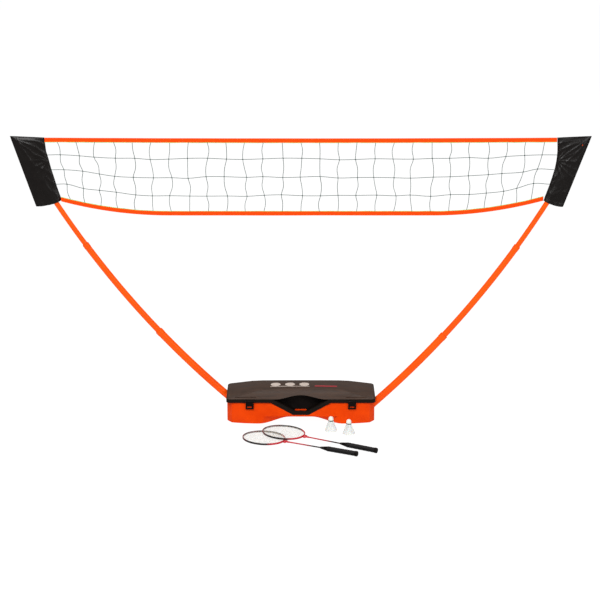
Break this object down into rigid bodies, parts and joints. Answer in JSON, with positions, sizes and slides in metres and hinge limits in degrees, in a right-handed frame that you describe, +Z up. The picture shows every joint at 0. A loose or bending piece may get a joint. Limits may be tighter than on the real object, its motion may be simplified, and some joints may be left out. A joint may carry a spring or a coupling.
{
  "type": "portable badminton set",
  "caption": "Portable badminton set: a carry case stands as the base of two curved telescoping poles that hold a net, with rackets and shuttlecocks.",
  "frame": {"origin": "on the ground, at the middle of the flat underside of the carry case", "axes": "+X along the net and the case, +Y from the front (handle side) to the back, +Z up"},
  "size_m": [3.05, 0.7861, 1.5499],
  "materials": {
    "orange_shell": "moulded, satin",
    "rubber": "matt",
    "steel": "drawn",
    "black_plastic": "moulded, satin",
    "lid_shell": "moulded, fine grain",
    "label_print": "printed",
    "pole_paint": "gloss paint",
    "pole_plastic": "moulded",
    "twine": "twisted",
    "tape": "woven",
    "sleeve_nylon": "woven nylon",
    "racket_paint": "gloss paint",
    "racket_strings": "nylon",
    "grip_wrap": "wrapped, matt",
    "cork": "smooth",
    "shuttle_band": "printed",
    "skirt": "translucent"
  },
  "bodies": {
    "case": {"case_tray": "orange_shell", "case_feet": "rubber", "hinge_pins": "steel", "pole_socket_left": "black_plastic", "pole_socket_right": "black_plastic", "socket_screws": "steel", "latch_keepers": "orange_shell", "pole_left_lower": "pole_paint", "pole_left_lower_collar": "pole_paint", "pole_left_foot": "pole_plastic", "pole_right_lower": "pole_paint", "pole_right_lower_collar": "pole_paint", "pole_right_foot": "pole_plastic"},
    "lid": {"case_lid": "lid_shell", "handle_cup": "black_plastic", "lid_label": "label_print", "latch_pins": "steel"},
    "latch_left": {"latch_left": "black_plastic"},
    "latch_right": {"latch_right": "black_plastic"},
    "pole_left_middle": {"pole_left_middle": "pole_paint", "pole_left_middle_collar": "pole_paint", "pole_left_middle_bush": "pole_plastic"},
    "pole_left_upper": {"pole_left_upper": "pole_paint", "pole_left_upper_bush": "pole_plastic", "pole_left_tip": "pole_plastic", "net_sleeve_left": "sleeve_nylon"},
    "pole_right_middle": {"pole_right_middle": "pole_paint", "pole_right_middle_collar": "pole_paint", "pole_right_middle_bush": "pole_plastic"},
    "pole_right_upper": {"pole_right_upper": "pole_paint", "pole_right_upper_bush": "pole_plastic", "pole_right_tip": "pole_plastic", "net_sleeve_right": "sleeve_nylon"},
    "net": {"net_mesh": "twine", "net_tape_top": "tape", "net_tape_bottom": "tape"},
    "racket_front": {"racket_front_frame": "racket_paint", "racket_front_strings": "racket_strings", "racket_front_joint": "racket_paint", "racket_front_shaft": "racket_paint", "racket_front_cone": "black_plastic", "racket_front_grip": "grip_wrap", "racket_front_cap": "black_plastic"},
    "racket_back": {"racket_back_frame": "racket_paint", "racket_back_strings": "racket_strings", "racket_back_joint": "racket_paint", "racket_back_shaft": "racket_paint", "racket_back_cone": "black_plastic", "racket_back_grip": "grip_wrap", "racket_back_cap": "black_plastic"},
    "shuttle_left": {"shuttle_left_cork": "cork", "shuttle_left_band": "shuttle_band", "shuttle_left_skirt": "skirt"},
    "shuttle_right": {"shuttle_right_cork": "cork", "shuttle_right_band": "shuttle_band", "shuttle_right_skirt": "skirt"}
  },
  "joints": [
    {"name": "lid_hinge", "type": "hinge", "parent": "case", "child": "lid", "pos_m": [0, 0.138, 0.115], "axis": [-1, 0, 0], "range_deg": [0, 100]},
    {"name": "latch_left_hinge", "type": "hinge", "parent": "lid", "child": "latch_left", "pos_m": [-0.277, -0.1393, 0.125], "axis": [-1, 0, 0], "range_deg": [0, 80]},
    {"name": "latch_right_hinge", "type": "hinge", "parent": "lid", "child": "latch_right", "pos_m": [0.277, -0.1393, 0.125], "axis": [-1, 0, 0], "range_deg": [0, 80]},
    {"name": "left_middle_telescope", "type": "hinge", "parent": "case", "child": "pole_left_middle", "pos_m": [2.95321, -0.08475, 3.74899], "axis": [0, -0.9993, -0.0384], "range_deg": [0, 5.5]},
    {"name": "left_upper_telescope", "type": "hinge", "parent": "pole_left_middle", "child": "pole_left_upper", "pos_m": [2.95321, -0.08475, 3.74899], "axis": [0, -0.9993, -0.0384], "range_deg": [0, 6.9], "deforming": ["net_sleeve_left"]},
    {"name": "right_middle_telescope", "type": "hinge", "parent": "case", "child": "pole_right_middle", "pos_m": [-2.95321, 0.08475, 3.74899], "axis": [0, 0.9993, -0.0384], "range_deg": [0, 5.5]},
    {"name": "right_upper_telescope", "type": "hinge", "parent": "pole_right_middle", "child": "pole_right_upper", "pos_m": [-2.95321, 0.08475, 3.74899], "axis": [0, 0.9993, -0.0384], "range_deg": [0, 6.9], "deforming": ["net_sleeve_right"]},
    {"name": "net_drop", "type": "slide", "parent": "case", "child": "net", "axis": [0, 0, -1], "range_m": [0, 0.84], "deforming": ["net_mesh", "net_tape_top", "net_tape_bottom"]},
    {"name": "racket_front_lift", "type": "slide", "parent": "case", "child": "racket_front", "axis": [0, 0, 1], "range_m": [0, 0.3]},
    {"name": "racket_back_lift", "type": "slide", "parent": "racket_front", "child": "racket_back", "axis": [0, 0, 1], "range_m": [0, 0.3]},
    {"name": "shuttle_left_lift", "type": "slide", "parent": "case", "child": "shuttle_left", "axis": [0, 0, 1], "range_m": [0, 0.3]},
    {"name": "shuttle_right_lift", "type": "slide", "parent": "case", "child": "shuttle_right", "axis": [0, 0, 1], "range_m": [0, 0.3]}
  ],
  "couplings": [
    {"joint": "left_upper_telescope", "follows": "left_middle_telescope", "ratio": 1.2545},
    {"joint": "right_middle_telescope", "follows": "left_middle_telescope", "ratio": 1},
    {"joint": "right_upper_telescope", "follows": "left_middle_telescope", "ratio": 1.2545},
    {"joint": "net_drop", "follows": "left_middle_telescope", "m_per_rad": 8.7505}
  ]
}
